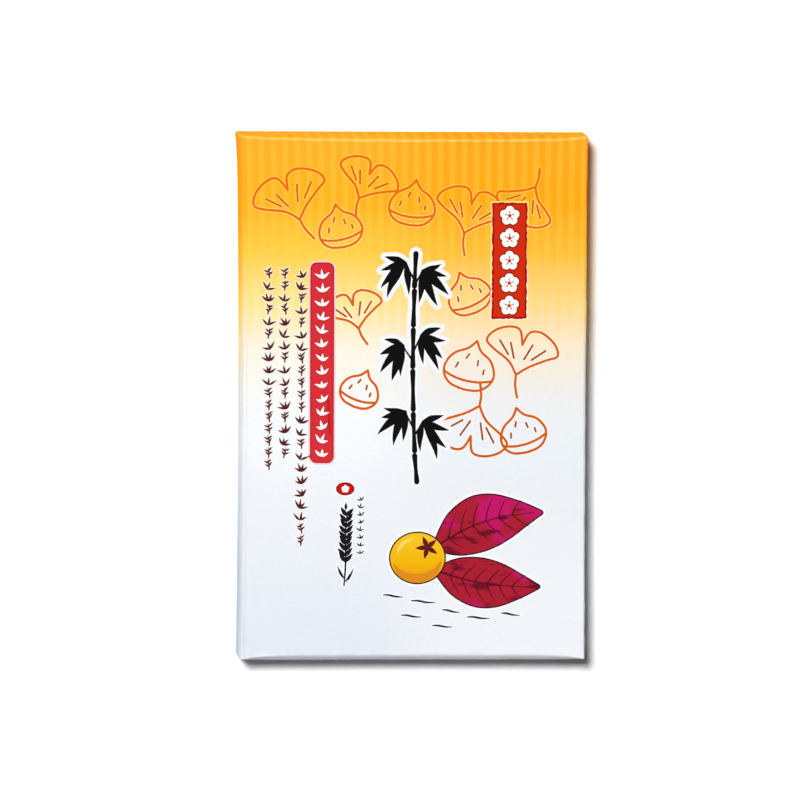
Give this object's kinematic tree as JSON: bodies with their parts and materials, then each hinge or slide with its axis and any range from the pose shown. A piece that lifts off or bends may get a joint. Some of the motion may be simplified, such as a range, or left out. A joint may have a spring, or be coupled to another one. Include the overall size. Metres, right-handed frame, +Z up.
{
  "type": "wrapped yokan gift box",
  "caption": "Flat oblong gift box of yokan sweets, shut and wrapped in printed paper, with parcel folds at both ends, lying with its printed face up.",
  "frame": {"origin": "centre of the underside", "axes": "+Z up out of the printed face, +Y along the box to the head of the print, +X to the right of the print"},
  "size_m": [0.106, 0.16, 0.03],
  "materials": {
    "printed_paper": "satin coated wrapping paper, printed with a fade from orange to a cool white"
  },
  "bodies": {
    "root": {"wrapped_box": "printed_paper"}
  },
  "joints": []
}
